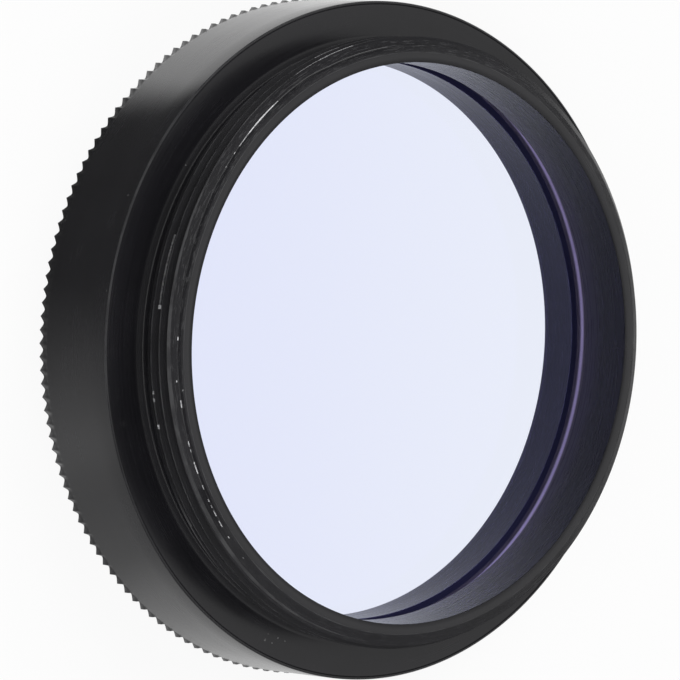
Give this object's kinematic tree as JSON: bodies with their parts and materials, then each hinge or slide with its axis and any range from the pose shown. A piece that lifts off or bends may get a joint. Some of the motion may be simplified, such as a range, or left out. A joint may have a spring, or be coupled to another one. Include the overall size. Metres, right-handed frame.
{
  "type": "telescope moon filter",
  "caption": "Round eyepiece moon filter: a low knurled black cell with a short threaded barrel in front, a pale coated glass disc and a slotted retaining ring behind it.",
  "frame": {"origin": "centre of the cell's back face, on which the filter lies", "axes": "+Z along the light path, from the knurled back face to the male thread; +X across the ring; +Y through the two spanner slots of the retaining ring"},
  "size_m": [0.0318, 0.0318, 0.0077],
  "materials": {
    "anodised_cell": "satin black anodised",
    "coated_glass": "polished, pale blue with a violet coating",
    "anodised_ring": "matt black anodised"
  },
  "bodies": {
    "root": {"filter_cell": "anodised_cell", "filter_glass": "coated_glass", "retaining_ring": "anodised_ring"}
  },
  "joints": []
}
